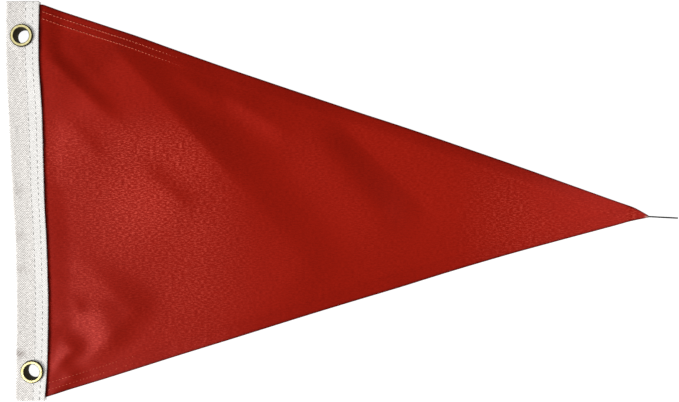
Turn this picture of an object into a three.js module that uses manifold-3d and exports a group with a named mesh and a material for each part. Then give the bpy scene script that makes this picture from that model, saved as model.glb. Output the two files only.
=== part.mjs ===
// A triangular pennant flag: red nylon with hemmed edges, a folded canvas heading and two brass grommets.
// It lies on its back on a flat surface, as it is laid out to be looked at.
// Millimetres. +X runs along the fly towards the tip, +Y up the hoist, +Z up from the surface.
// The origin is on that surface, under the middle of the flag.
import * as THREE from "three";
import Module from "manifold-3d";
import { mergeVertices } from "three/addons/utils/BufferGeometryUtils.js";

// Cloth
const CLOTH = 1.0; // thickness
const HEM_WIDTH = 12;
const HEM_RISE = 0.6; // the turned layers on top of the cloth
const HEM_STEP = 1.5; // the rise fades over this width
const EDGE_ANGLE = 18; // degrees from the fly to either long edge
const TAB = 4.4; // how far the cloth goes into the heading
const TAB_END = 150.4; // the tab's corners are this far up and down the hoist
const CELL = 8.4; // size of the facets
const SETTLE = 18; // the cloth comes down from the heading to the surface over this length
const SETTLE_STEPS = 4;

// Heading: canvas tape, folded at the hoist, its two edges on either side of the cloth
const CANVAS = 1.0; // one layer
const GAP = 0.3; // between pieces that touch
const SLOT = CLOTH + 2 * GAP; // between the two layers
const SLOT_DEPTH = TAB + 2 * GAP;
const HEADING_HEIGHT = 2 * CANVAS + SLOT;
const FOLD_RADIUS = HEADING_HEIGHT / 2;
const TAPE_BEVEL = 0.3;
const UPPER_END = 151.7;
const LOWER_END_AT_FOLD = -150.2; // the lower end is cut a little off square
const LOWER_END_AT_CLOTH = -151.7;

// Grommets with a 3/8 inch hole
const HOLE_RADIUS = 4.9;
const BARREL_RADIUS = 5.6;
const PUNCHED_RADIUS = BARREL_RADIUS + GAP; // the hole through the canvas
const FLANGE_RADIUS = 8.7;
const FLANGE_HEIGHT = 1.0;
const ROLL = 0.6; // how far the flange's rolled rim falls away
const MOUTH = 0.8; // how far the flange turns down into the barrel
const WASHER = 0.5;
const LIP = 0.5; // the barrel's end, rolled outwards under the washer
const LIP_RADIUS = 7.2;
const EDGE_ROUND = 0.3; // on the lip and the washer
const PUNCH_LENGTH = 20;
const LIFT = LIP + GAP + WASHER + GAP; // the surface to the canvas beside a grommet
const LATHE_STEPS = 36;
const GROMMETS = [
  { name: "upper", x: -232.1, y: 125.3 },
  { name: "lower", x: -224.1, y: -129.4 },
];
const LIFT_FLAT = 14; // the heading stays level this far from a grommet's centre
const LIFT_END = 62; // and is down on the surface this far from it

// Loose thread at the tip
const THREAD_DIAMETER = 0.8;
const THREAD_SIDES = 8;
const THREAD_STEPS = 24;
const THREAD_HEIGHT = 0.42; // of its centre line
const THREAD_ROUTE = [
  [237.6, -11.3],
  [239.8, -11.5],
  [242.0, -11.7],
  [244.2, -11.9],
  [246.4, -12.05],
  [248.6, -12.15],
  [250.8, -12.25],
  [253.0, -12.4],
  [255.2, -12.5],
  [257.4, -12.6],
  [259.6, -12.75],
  [261.8, -12.85],
  [264.0, -12.95],
  [266.0, -13.05],
  [267.8, -13.15],
];
const TIP_RISE = 1.15; // the tip lies over the first stretch of the thread
const TIP_RISE_FROM = 229;
const TIP_RISE_TO = 236;

// The heading's two long edges, from its lower end to its upper end
const HEADING = [
  { y: -151, fold: -237.9, cloth: -215.1 },
  { y: -132, fold: -237.4, cloth: -213.6 },
  { y: -106, fold: -237.3, cloth: -212.8 },
  { y: -56, fold: -238.1, cloth: -213.7 },
  { y: -26, fold: -238.9, cloth: -214.8 },
  { y: 1, fold: -240.7, cloth: -216.2 },
  { y: 54, fold: -243.4, cloth: -217.6 },
  { y: 76, fold: -244.5, cloth: -218.4 },
  { y: 107, fold: -245.0, cloth: -219.7 },
  { y: 152, fold: -245.0, cloth: -219.4 },
];
const HOIST_X = -216; // about the middle of the heading's edge on the cloth's side
const BOW_FADE = [20, 140]; // the heading's bow has left the cloth's facets between these lengths from it

// The cloth's two long edges, from the heading to the tip
const EDGES = [
  { x: -217.0, upper: 149.6, lower: -150.0 },
  { x: -174.4, upper: 135.6, lower: -137.4 },
  { x: -97.9, upper: 108.9, lower: -113.1 },
  { x: -21.4, upper: 82.7, lower: -88.9 },
  { x: 55.1, upper: 57.1, lower: -65.8 },
  { x: 131.6, upper: 30.8, lower: -42.6 },
  { x: 177.5, upper: 14.8, lower: -30.0 },
  { x: 221.8, upper: -0.6, lower: -18.3 },
  { x: 233.3, upper: -4.7, lower: -15.1 },
  { x: 245.0, upper: -11.1, lower: -12.7 },
];

// Soft folds. Each runs from one point to another. Its widths and its creases are pairs, for the side
// of the heading and the side of the tip: a crease of 2 is a round crest and one near 1 a sharp one.
// Its fades are the lengths it dies away over, before its first point and after its second.
const FOLDS = [
  {
    name: "grommet crease",
    from: [-219, 112],
    to: [-180, 77],
    height: 4.0,
    widths: [34, 9],
    creases: [1.4, 1.8],
    fades: [6, 20],
  },
  {
    name: "second crease",
    from: [-192, 112],
    to: [-176, 95],
    height: 0.8,
    widths: [9, 6],
    creases: [1.6, 1.6],
    fades: [14, 18],
  },
  {
    name: "long fold",
    from: [-152, 105],
    to: [-92, 39],
    height: 8.2,
    widths: [64, 25],
    creases: [1.35, 1.4],
    fades: [22, 36],
  },
  {
    name: "ridge before the upper fold",
    from: [-104, 91],
    to: [-90, 81],
    height: 1.5,
    widths: [9, 13],
    creases: [1.8, 1.8],
    fades: [12, 12],
  },
  {
    name: "tail of the long fold",
    from: [-54, -2],
    to: [-20, -46],
    height: 4.6,
    widths: [54, 28],
    creases: [1.7, 1.7],
    fades: [34, 24],
  },
  {
    name: "upper fold",
    from: [-62, 72],
    to: [-42, 59],
    height: 2.8,
    widths: [10, 20],
    creases: [1.8, 1.6],
    fades: [18, 16],
  },
  {
    name: "middle fold",
    from: [0, 32],
    to: [34, -8],
    height: 4.2,
    widths: [26, 17],
    creases: [1.8, 2.2],
    fades: [22, 24],
  },
  {
    name: "valley beyond the middle fold",
    from: [20, 48],
    to: [62, 6],
    height: -3.0,
    widths: [15, 30],
    creases: [1.3, 1.4],
    fades: [22, 22],
  },
  {
    name: "swell towards the tip",
    from: [60, 40],
    to: [130, 0],
    height: 3.6,
    widths: [60, 50],
    creases: [2.0, 2.0],
    fades: [50, 60],
  },
  {
    name: "rise at the upper hem",
    from: [-10, 65],
    to: [150, 14],
    height: 3.2,
    widths: [30, 17],
    creases: [1.6, 2.0],
    fades: [40, 60],
  },
  {
    name: "wave by the heading",
    from: [-194, 55],
    to: [-184, 43],
    height: 1.0,
    widths: [34, 9],
    creases: [1.8, 1.8],
    fades: [14, 16],
  },
  {
    name: "wave under the long fold",
    from: [-134, 16],
    to: [-118, 2],
    height: 1.4,
    widths: [30, 11],
    creases: [1.7, 1.8],
    fades: [14, 16],
  },
  {
    name: "lower fold",
    from: [-163, -97],
    to: [-152, -85],
    height: 2.6,
    widths: [40, 10],
    creases: [1.7, 1.8],
    fades: [44, 14],
  },
  {
    name: "lower hem curls up",
    from: [-60, -102],
    to: [50, -68],
    height: 2.4,
    widths: [16, 14],
    creases: [1.6, 1.6],
    fades: [40, 30],
  },
  {
    name: "lower pucker",
    from: [-204, -90],
    to: [-192, -83],
    height: 0.9,
    widths: [8, 4],
    creases: [1.6, 1.8],
    fades: [8, 6],
  },
  {
    name: "corner crease",
    from: [-213, -128],
    to: [-196, -114],
    height: 2.8,
    widths: [11, 6],
    creases: [1.6, 1.8],
    fades: [6, 9],
  },
  {
    name: "corner pucker",
    from: [-210, -144],
    to: [-198, -135],
    height: 2.2,
    widths: [9, 6],
    creases: [1.6, 1.8],
    fades: [5, 8],
  },
];
const LIES_FLAT = 0.15; // what would rise less than this lies on the surface

const wasm = await Module();
wasm.setup();

const { smoothstep, lerp, clamp, degToRad } = THREE.MathUtils;

// A smooth curve through one column of a table, as a function of another column
function along(table, key, column, at) {
  const last = table.length - 1;
  let row = 0;
  while (row < last - 1 && at > table[row + 1][key]) row += 1;
  const slope = (index) => {
    const before = table[Math.max(index - 1, 0)];
    const after = table[Math.min(index + 1, last)];
    return (after[column] - before[column]) / (after[key] - before[key]);
  };
  const start = table[row];
  const end = table[row + 1];
  const span = end[key] - start[key];
  const t = clamp((at - start[key]) / span, 0, 1);
  const u = 1 - t;
  const held = start[column] * (1 + 2 * t) * u * u + end[column] * (1 + 2 * u) * t * t;
  return held + (slope(row) * u - slope(row + 1) * t) * span * t * u;
}

const foldEdge = (y) => along(HEADING, "y", "fold", y);
const clothEdge = (y) => along(HEADING, "y", "cloth", y);

// The cloth's long edges; inside the heading they run level
function longEdge(column, x) {
  return x < EDGES[0].x ? EDGES[0][column] : along(EDGES, "x", column, x);
}

// How far the heading stands off the surface, where the grommets hold it up
function headingLift(y) {
  return Math.max(...GROMMETS.map((g) => LIFT * (1 - smoothstep(Math.abs(y - g.y), LIFT_FLAT, LIFT_END))));
}

// The height of one fold at a point of the cloth
function foldHeight(fold, x, y) {
  const [startX, startY] = fold.from;
  const alongX = fold.to[0] - startX;
  const alongY = fold.to[1] - startY;
  const length = Math.hypot(alongX, alongY);
  const run = ((x - startX) * alongX + (y - startY) * alongY) / length;
  const aside = ((y - startY) * alongX - (x - startX) * alongY) / length;
  const side = aside * alongY < 0 ? 1 : 0;
  const across = Math.abs(aside / fold.widths[side]) ** fold.creases[side];
  const before = Math.max(-run, 0) / fold.fades[0];
  const after = Math.max(run - length, 0) / fold.fades[1];
  return fold.height * Math.exp(-across - before ** 2 - after ** 2);
}

// The heights of the cloth's two faces at a point
function clothFaces(x, y) {
  const out = x - clothEdge(y);
  const settled = smoothstep(out, GAP, SETTLE);
  const folds = FOLDS.reduce((sum, fold) => sum + foldHeight(fold, x, y), 0);
  const held = headingLift(y) + CANVAS + GAP;
  const lying = Math.max(0, folds - LIES_FLAT) + TIP_RISE * smoothstep(x, TIP_RISE_FROM, TIP_RISE_TO);
  const under = lerp(held, lying, settled);
  const upToEdge = Math.min(longEdge("upper", x) - y, y - longEdge("lower", x));
  const inside = upToEdge * Math.cos(degToRad(EDGE_ANGLE));
  const hem = 1 - smoothstep(inside, HEM_WIDTH - HEM_STEP, HEM_WIDTH);
  return { under, over: under + CLOTH + HEM_RISE * hem * settled };
}

// One line of points across the cloth, from its lower to its upper edge, at a length from the heading
function clothLine(out) {
  const bow = 1 - smoothstep(out, BOW_FADE[0], BOW_FADE[1]);
  const xAt = (y) => HOIST_X + out + bow * (clothEdge(y) - HOIST_X);
  const edgeAt = (column, from) => longEdge(column, xAt(longEdge(column, xAt(from))));
  const low = edgeAt("lower", -TAB_END);
  const high = edgeAt("upper", TAB_END);
  const height = high - low;
  const hem = HEM_WIDTH / Math.cos(degToRad(EDGE_ANGLE)) / height;
  const step = (hem * HEM_STEP) / HEM_WIDTH;
  const hemmed = height * (1 - 2 * hem) > CELL;
  const inner = hemmed ? 1 - 2 * hem : 1;
  const count = Math.max(1, Math.round((inner * height) / CELL));
  const shares = [];
  for (let i = 0; i <= count; i += 1) shares.push((1 - inner) / 2 + (inner * i) / count);
  if (hemmed) {
    shares.unshift(0, (hem - step) / 2, hem - step);
    shares.push(1 - hem + step, 1 - (hem - step) / 2, 1);
  }
  return shares.map((share) => {
    const y = lerp(low, high, share);
    return { share, x: xAt(y), y };
  });
}

// The triangles between two lines of points, side by side, that need not have as many points each
function between(left, right) {
  const triangles = [];
  let i = 0;
  let j = 0;
  while (i < left.length - 1 || j < right.length - 1) {
    const stepLeft =
      j === right.length - 1 || (i < left.length - 1 && left[i + 1].share <= right[j + 1].share);
    if (stepLeft) {
      triangles.push([left[i].index, right[j].index, left[i + 1].index]);
      i += 1;
    } else {
      triangles.push([left[i].index, right[j].index, right[j + 1].index]);
      j += 1;
    }
  }
  return triangles;
}

// A closed solid from points and triangles
function solidOf(points, triangles) {
  const vertProperties = new Float32Array(points.flat());
  const triVerts = new Uint32Array(triangles.flat());
  return new wasm.Manifold(new wasm.Mesh({ numProp: 3, vertProperties, triVerts }));
}

// A closed solid from a geometry of three.js
function solidFrom(geometry) {
  geometry.deleteAttribute("normal");
  geometry.deleteAttribute("uv");
  const merged = mergeVertices(geometry, 1e-4);
  const vertProperties = merged.attributes.position.array;
  const triVerts = new Uint32Array(merged.index.array);
  return new wasm.Manifold(new wasm.Mesh({ numProp: 3, vertProperties, triVerts }));
}

function geometryOf(solid) {
  const mesh = solid.getMesh();
  const geometry = new THREE.BufferGeometry();
  geometry.setAttribute("position", new THREE.BufferAttribute(mesh.vertProperties, 3));
  geometry.setIndex(new THREE.BufferAttribute(mesh.triVerts, 1));
  geometry.computeVertexNormals();
  return geometry;
}

// The cloth: one sheet between the two faces, closed round its rim
function pennantCloth() {
  const tip = EDGES[EDGES.length - 1].x - HOIST_X;
  const steps = Math.round((tip - SETTLE) / CELL);
  const outs = [-TAB];
  for (let i = 0; i < SETTLE_STEPS; i += 1) outs.push((SETTLE * i) / SETTLE_STEPS);
  for (let i = 0; i <= steps; i += 1) outs.push(lerp(SETTLE, tip, i / steps));
  const lines = outs.map(clothLine);

  const points = lines.flat();
  points.forEach((point, index) => {
    point.index = index;
    Object.assign(point, clothFaces(point.x, point.y));
  });
  const count = points.length;
  const corners = [...points.map((p) => [p.x, p.y, p.over]), ...points.map((p) => [p.x, p.y, p.under])];

  const top = lines.slice(1).flatMap((line, i) => between(lines[i], line));
  const bottom = top.map(([a, b, c]) => [a + count, c + count, b + count]);
  const rim = [
    ...lines.map((line) => line[0]),
    ...lines[lines.length - 1].slice(1),
    ...lines.slice(0, -1).reverse().map((line) => line[line.length - 1]),
    ...lines[0].slice(1, -1).reverse(),
  ].map((point) => point.index);
  const walls = rim.flatMap((a, i) => {
    const b = rim[(i + 1) % rim.length];
    return [
      [a, a + count, b],
      [b, a + count, b + count],
    ];
  });
  return solidOf(corners, [...top, ...bottom, ...walls]);
}

// The heading's section: distances in from the folded edge or from the cloth's side, and heights
function headingSection() {
  const section = [];
  for (let turn = 0; turn <= 4; turn += 1) {
    const angle = (Math.PI * turn) / 4;
    section.push({
      fromFold: FOLD_RADIUS * (1 - Math.sin(angle)),
      z: FOLD_RADIUS * (1 - Math.cos(angle)),
    });
  }
  const upperLayer = CANVAS + SLOT;
  section.push({ fromCloth: TAPE_BEVEL, z: HEADING_HEIGHT });
  section.push({ fromCloth: 0, z: HEADING_HEIGHT - TAPE_BEVEL });
  section.push({ fromCloth: 0, z: upperLayer });
  section.push({ fromCloth: SLOT_DEPTH, z: upperLayer });
  section.push({ fromCloth: SLOT_DEPTH, z: CANVAS });
  section.push({ fromCloth: 0, z: CANVAS });
  section.push({ fromCloth: 0, z: TAPE_BEVEL });
  section.push({ fromCloth: TAPE_BEVEL, z: 0 });
  return section;
}

// One station of the heading, at a share of its length from its lower to its upper end
function headingStation(section, share) {
  return section.map((corner) => {
    const lower = corner.fromFold === undefined ? LOWER_END_AT_CLOTH : LOWER_END_AT_FOLD;
    const y = lerp(lower, UPPER_END, share);
    const x = corner.fromFold === undefined ? clothEdge(y) - corner.fromCloth : foldEdge(y) + corner.fromFold;
    return [x, y, headingLift(y) + corner.z];
  });
}

// The heading, with its holes punched
function heading() {
  const section = headingSection();
  const sides = section.length;
  const stations = Math.round((UPPER_END - LOWER_END_AT_CLOTH) / CELL);
  const points = [];
  for (let i = 0; i <= stations; i += 1) points.push(...headingStation(section, i / stations));

  const triangles = [];
  for (let i = 0; i < stations; i += 1) {
    for (let j = 0; j < sides; j += 1) {
      const a = i * sides + j;
      const b = i * sides + ((j + 1) % sides);
      triangles.push([a, b, a + sides], [b, b + sides, a + sides]);
    }
  }
  const outline = section.map((corner) => {
    const x = corner.fromFold === undefined ? clothEdge(0) - corner.fromCloth : foldEdge(0) + corner.fromFold;
    return new THREE.Vector2(x, corner.z);
  });
  const cap = THREE.ShapeUtils.triangulateShape(outline, []);
  const atUpperEnd = stations * sides;
  cap.forEach(([a, b, c]) => triangles.push([a, b, c], [a + atUpperEnd, c + atUpperEnd, b + atUpperEnd]));

  return GROMMETS.reduce((tape, grommet) => {
    const punch = new THREE.CylinderGeometry(PUNCHED_RADIUS, PUNCHED_RADIUS, PUNCH_LENGTH, LATHE_STEPS);
    punch.rotateX(Math.PI / 2);
    punch.translate(grommet.x, grommet.y, 0);
    return tape.subtract(solidFrom(punch));
  }, solidOf(points, triangles));
}

// A ring turned about the vertical, from its section as pairs of radius and height
function ring(section) {
  const profile = [...section, section[0]].map(([radius, z]) => new THREE.Vector2(radius, z));
  const geometry = new THREE.LatheGeometry(profile, LATHE_STEPS);
  geometry.rotateX(Math.PI / 2);
  return solidFrom(geometry);
}

// A grommet in one piece: flange above the canvas, barrel through it, lip rolled out under the washer
function grommetRing() {
  const seat = LIFT + HEADING_HEIGHT + GAP;
  const crown = seat + FLANGE_HEIGHT;
  return ring([
    [HOLE_RADIUS, EDGE_ROUND],
    [HOLE_RADIUS + EDGE_ROUND, 0],
    [LIP_RADIUS - EDGE_ROUND, 0],
    [LIP_RADIUS, EDGE_ROUND],
    [LIP_RADIUS, LIP],
    [BARREL_RADIUS, LIP],
    [BARREL_RADIUS, seat],
    [FLANGE_RADIUS, seat],
    [FLANGE_RADIUS, crown - ROLL],
    [FLANGE_RADIUS - ROLL, crown],
    [BARREL_RADIUS + MOUTH, crown],
    [BARREL_RADIUS, crown - MOUTH / 3],
    [HOLE_RADIUS, crown - MOUTH],
  ]);
}

// The washer between the canvas and the lip
function washerRing() {
  const low = LIP + GAP;
  return ring([
    [PUNCHED_RADIUS, low],
    [FLANGE_RADIUS - EDGE_ROUND, low],
    [FLANGE_RADIUS, low + EDGE_ROUND],
    [FLANGE_RADIUS, low + WASHER],
    [PUNCHED_RADIUS, low + WASHER],
  ]);
}

// The loose thread
function tipThread() {
  const route = new THREE.CatmullRomCurve3(THREAD_ROUTE.map(([x, y]) => new THREE.Vector3(x, y, THREAD_HEIGHT)));
  const section = new THREE.Shape();
  for (let i = 0; i < THREAD_SIDES; i += 1) {
    const angle = (2 * Math.PI * i) / THREAD_SIDES;
    const place = [Math.cos(angle), Math.sin(angle)].map((share) => (share * THREAD_DIAMETER) / 2);
    if (i === 0) section.moveTo(...place);
    else section.lineTo(...place);
  }
  section.closePath();
  return solidFrom(
    new THREE.ExtrudeGeometry(section, { steps: THREAD_STEPS, bevelEnabled: false, extrudePath: route }),
  );
}

const NYLON = new THREE.MeshStandardMaterial({ color: 0x9b2318, roughness: 0.6, metalness: 0 });
const DUCK = new THREE.MeshStandardMaterial({ color: 0xe4e0da, roughness: 0.9, metalness: 0 });
const BRASS = new THREE.MeshStandardMaterial({ color: 0xb9944c, roughness: 0.3, metalness: 1 });
const THREAD = new THREE.MeshStandardMaterial({ color: 0x2a2826, roughness: 0.7, metalness: 0 });

function piece(name, solid, material) {
  const mesh = new THREE.Mesh(geometryOf(solid), material);
  mesh.name = name;
  return mesh;
}

const flag = new THREE.Group();
flag.add(piece("pennant_cloth", pennantCloth(), NYLON));
flag.add(piece("heading", heading(), DUCK));
for (const { name, x, y } of GROMMETS) {
  const fitted = new THREE.Group();
  fitted.position.set(x, y, 0);
  fitted.add(piece(`${name}_grommet`, grommetRing(), BRASS));
  fitted.add(piece(`${name}_washer`, washerRing(), BRASS));
  flag.add(fitted);
}
flag.add(piece("tip_thread", tipThread(), THREAD));

export default flag;
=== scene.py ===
# %% [markdown]
# # A red nylon pennant, laid flat
#
# The real flag is a triangle of red nylon with its two long edges turned and sewn. Its hoist edge is
# caught in a white canvas tape, the heading, and the heading has a brass grommet near each end.
# This script dresses the solids of the flag. It reads the grommets' places from the imported frame, so
# those need not be fitted by eye.

# %% Load the frame
import math
from collections import namedtuple

import bmesh
import bpy
import numpy as np
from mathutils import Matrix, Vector


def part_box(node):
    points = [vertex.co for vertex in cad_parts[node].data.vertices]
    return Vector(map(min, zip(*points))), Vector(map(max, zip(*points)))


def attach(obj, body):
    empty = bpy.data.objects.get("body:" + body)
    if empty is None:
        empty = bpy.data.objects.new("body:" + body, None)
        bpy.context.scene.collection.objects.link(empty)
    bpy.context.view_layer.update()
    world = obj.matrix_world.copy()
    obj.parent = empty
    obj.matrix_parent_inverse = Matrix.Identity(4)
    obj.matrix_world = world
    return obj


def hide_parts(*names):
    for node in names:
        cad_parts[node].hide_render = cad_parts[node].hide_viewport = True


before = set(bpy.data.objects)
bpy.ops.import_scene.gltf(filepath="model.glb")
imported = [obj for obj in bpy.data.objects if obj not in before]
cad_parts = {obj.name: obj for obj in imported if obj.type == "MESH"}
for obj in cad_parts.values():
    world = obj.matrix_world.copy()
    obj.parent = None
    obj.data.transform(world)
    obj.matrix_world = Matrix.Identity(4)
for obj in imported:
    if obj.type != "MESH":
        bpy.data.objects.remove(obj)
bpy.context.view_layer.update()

MM = 0.001
BODY = "root"
print("nodes:", sorted(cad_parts))

# %% [markdown]
# ## The camera
#
# The flag is photographed from straight above with a short lens, close enough that the inner wall of
# a grommet shows on the side away from the middle. Such a view is set by two lengths: how much of
# the surface the picture covers, and how far above it the lens is.

# %% Camera straight above the flag
PICTURE_WIDTH = 519.7 * MM  # of the surface, over the 679 pixels
PICTURE_CENTRE = (8.7 * MM, -0.05 * MM)
LENS_HEIGHT = 440 * MM
SENSOR = 36.0

lens = bpy.data.cameras.new("Camera")
lens.sensor_width = SENSOR
lens.lens = SENSOR * LENS_HEIGHT / PICTURE_WIDTH
lens.clip_start = 0.01
camera = bpy.data.objects.new("Camera", lens)
camera.location = (*PICTURE_CENTRE, LENS_HEIGHT + 1 * MM)
bpy.context.scene.collection.objects.link(camera)
bpy.context.scene.camera = camera
print(f"lens {lens.lens:.1f} mm")

# %% [markdown]
# ## Sizes that the pieces share
#
# Cloth, tape and stitches all follow the same two outlines, so these come first: the heading's two
# long edges, which bow a little, and the cloth's two long edges. Each is a short table, and a smooth
# curve through its rows gives any point between them.

# %% Outlines
HEADING = {
    "y": [-151, -132, -106, -56, -26, 1, 54, 76, 107, 152],
    "fold": [-237.9, -237.4, -237.3, -238.1, -238.9, -240.7, -243.4, -244.5, -245.0, -245.0],
    "cloth": [-215.1, -213.6, -212.8, -213.7, -214.8, -216.2, -217.6, -218.4, -219.7, -219.4],
}
EDGES = {
    "x": [-217, -174.4, -97.9, -21.4, 55.1, 131.6, 177.5, 221.8, 233.3, 245.0],
    "upper": [149.6, 135.6, 108.9, 82.7, 57.1, 30.8, 14.8, -0.6, -4.7, -11.1],
    "lower": [-150.0, -137.4, -113.1, -88.9, -65.8, -42.6, -30.0, -18.3, -15.1, -12.7],
}


def along(table, key, column, at):
    """A smooth curve through one column of a table, as a function of another column."""
    keys = np.array(table[key], float)
    values = np.array(table[column], float)
    slopes = np.empty_like(values)
    slopes[1:-1] = (values[2:] - values[:-2]) / (keys[2:] - keys[:-2])
    slopes[0] = (values[1] - values[0]) / (keys[1] - keys[0])
    slopes[-1] = (values[-1] - values[-2]) / (keys[-1] - keys[-2])
    at = np.clip(np.asarray(at, float), keys[0], keys[-1])
    row = np.clip(np.searchsorted(keys, at, side="right") - 1, 0, len(keys) - 2)
    span = keys[row + 1] - keys[row]
    t = (at - keys[row]) / span
    u = 1 - t
    held = values[row] * (1 + 2 * t) * u * u + values[row + 1] * (1 + 2 * u) * t * t
    return held + (slopes[row] * u - slopes[row + 1] * t) * span * t * u


def fold_edge(y):
    return along(HEADING, "y", "fold", y)


def cloth_edge(y):
    return along(HEADING, "y", "cloth", y)


def upper_edge(x):
    return along(EDGES, "x", "upper", x)


def lower_edge(x):
    return along(EDGES, "x", "lower", x)


def smoothstep(value, low, high):
    t = np.clip((value - low) / (high - low), 0, 1)
    return t * t * (3 - 2 * t)


def lerp(a, b, t):
    return a + (b - a) * t


print("heading width at the middle:", round(float(cloth_edge(0) - fold_edge(0)), 1), "mm")

# %% [markdown]
# ## How the flag lies
#
# The grommets are thicker than the canvas, so they hold the heading a little off the surface. The
# cloth comes down from the heading and lies in long soft folds that run from the upper hem towards
# the lower one. Cloth simulation would give other folds than these, so each fold is a crest between
# two points with its own width on either side.

# %% Heights, in millimetres
CANVAS = 1.0  # one layer of the tape
GAP = 0.3
LIP = 0.5
WASHER = 0.5
LIFT = LIP + GAP + WASHER + GAP  # of the heading, at a grommet
LIFT_FLAT = 14
LIFT_END = 62
SETTLE = 18  # the cloth comes down to its folds this far from the heading
LIES_FLAT = 0.15  # folds lower than this lie on the surface
TIP_RISE = 1.15  # over the loose thread, which leaves the sewing behind the tip
TIP_RISE_FROM = 229
TIP_RISE_TO = 236


def middle(node):
    """The middle of a node, in millimetres."""
    low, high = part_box(node)
    return [(a + b) / 2 / MM for a, b in zip(low, high)]


GROMMETS = {name: middle(f"{name}_grommet") for name in ("upper", "lower")}

Fold = namedtuple("Fold", "name start end height widths creases fades")
# Each fold's widths, crease powers and fades are pairs: first towards the heading, then towards the tip.
FOLDS = [
    Fold("grommet crease", (-219, 112), (-180, 77), 4.0, (34, 9), (1.4, 1.8), (6, 20)),
    Fold("second crease", (-192, 112), (-176, 95), 0.8, (9, 6), (1.6, 1.6), (14, 18)),
    Fold("long fold", (-152, 105), (-92, 39), 8.2, (64, 25), (1.35, 1.4), (22, 36)),
    Fold("ridge before the upper fold", (-104, 91), (-90, 81), 1.5, (9, 13), (1.8, 1.8), (12, 12)),
    Fold("tail of the long fold", (-54, -2), (-20, -46), 4.6, (54, 28), (1.7, 1.7), (34, 24)),
    Fold("upper fold", (-62, 72), (-42, 59), 2.8, (10, 20), (1.8, 1.6), (18, 16)),
    Fold("middle fold", (0, 32), (34, -8), 4.2, (26, 17), (1.8, 2.2), (22, 24)),
    Fold("valley beyond the middle fold", (20, 48), (62, 6), -3.0, (15, 30), (1.3, 1.4), (22, 22)),
    Fold("swell towards the tip", (60, 40), (130, 0), 3.6, (60, 50), (2.0, 2.0), (50, 60)),
    Fold("rise at the upper hem", (-10, 65), (150, 14), 3.2, (30, 17), (1.6, 2.0), (40, 60)),
    Fold("wave by the heading", (-194, 55), (-184, 43), 1.0, (34, 9), (1.8, 1.8), (14, 16)),
    Fold("wave under the long fold", (-134, 16), (-118, 2), 1.4, (30, 11), (1.7, 1.8), (14, 16)),
    Fold("lower fold", (-163, -97), (-152, -85), 2.6, (40, 10), (1.7, 1.8), (44, 14)),
    Fold("lower hem curls up", (-60, -102), (50, -68), 2.4, (16, 14), (1.6, 1.6), (40, 30)),
    Fold("lower pucker", (-204, -90), (-192, -83), 0.9, (8, 4), (1.6, 1.8), (8, 6)),
    Fold("corner crease", (-213, -128), (-196, -114), 2.8, (11, 6), (1.6, 1.8), (6, 9)),
    Fold("corner pucker", (-210, -144), (-198, -135), 2.2, (9, 6), (1.6, 1.8), (5, 8)),
]
# Short creases that only the thin cloth shows.
CREASES = [
    Fold("crease by the lower fold", (-165, -107), (-172, -85), 1.0, (14, 12), (1.7, 1.8), (6, 7)),
    Fold("crease by the corner", (-208, -127), (-202, -110), 0.9, (5, 7), (1.6, 1.7), (5, 6)),
    Fold("pucker by the heading", (-207, -91), (-206, -83), 0.6, (5, 7), (1.6, 1.7), (4, 4)),
]


def heading_lift(y):
    """How far the heading stands off the surface, where the grommets hold it up."""
    lifts = [1 - smoothstep(np.abs(y - place[1]), LIFT_FLAT, LIFT_END) for place in GROMMETS.values()]
    return LIFT * np.maximum(*lifts)


def fold_height(fold, x, y):
    """The height of one fold at a point of the cloth."""
    along_x = fold.end[0] - fold.start[0]
    along_y = fold.end[1] - fold.start[1]
    length = math.hypot(along_x, along_y)
    run = ((x - fold.start[0]) * along_x + (y - fold.start[1]) * along_y) / length
    aside = ((y - fold.start[1]) * along_x - (x - fold.start[0]) * along_y) / length
    if along_y > 0:
        aside = -aside
    side = (aside > 0).astype(int)
    across = np.abs(aside / np.take(fold.widths, side)) ** np.take(fold.creases, side)
    before = np.maximum(-run, 0) / fold.fades[0]
    after = np.maximum(run - length, 0) / fold.fades[1]
    return fold.height * np.exp(-across - before**2 - after**2)


print("grommets at", {name: [round(v, 1) for v in place] for name, place in GROMMETS.items()})

# %% [markdown]
# ## Turning points into meshes
#
# Most of the flag is a surface over a regular grid, closed into a thin shell or a tube. One helper
# makes the object and stores how far each point lies along and across the flat cut, in metres, as a
# UV map. The weaves read that map, so that they follow the cloth.


# %% Mesh helpers
def mesh_piece(name, points, faces, flat=None):
    """An object from points in millimetres and faces, with a UV map of the flat cut."""
    mesh = bpy.data.meshes.new(name)
    mesh.from_pydata((np.asarray(points) * MM).tolist(), [], faces)
    if flat is not None:
        corners = np.empty(len(mesh.loops), int)
        mesh.loops.foreach_get("vertex_index", corners)
        layer = mesh.uv_layers.new(name="flat")
        layer.data.foreach_set("uv", (np.asarray(flat)[corners] * MM).ravel())
    mesh.shade_smooth()
    made = bpy.data.objects.new(name, mesh)
    bpy.context.scene.collection.objects.link(made)
    return made


def grid_faces(rows, columns, first=0, flip=False):
    """The quads of a grid of points that are numbered along its columns."""
    index = first + np.arange(rows * columns).reshape(rows, columns)
    quads = np.stack([index[:-1, :-1], index[:-1, 1:], index[1:, 1:], index[1:, :-1]], axis=-1)
    quads = quads.reshape(-1, 4)
    return (quads[:, ::-1] if flip else quads).tolist()


def add_marks(made, name, values):
    """Stores one number for each point, for a material to read."""
    marks = made.data.attributes.new(name, "FLOAT", "POINT")
    marks.data.foreach_set("value", np.asarray(values, np.float32))


def hex_colour(code):
    """A colour written in sRGB, as Blender's linear values."""
    parts = [int(code[i : i + 2], 16) / 255 for i in (1, 3, 5)]
    linear = [p / 12.92 if p <= 0.04045 else ((p + 0.055) / 1.055) ** 2.4 for p in parts]
    return (*linear, 1.0)


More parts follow.
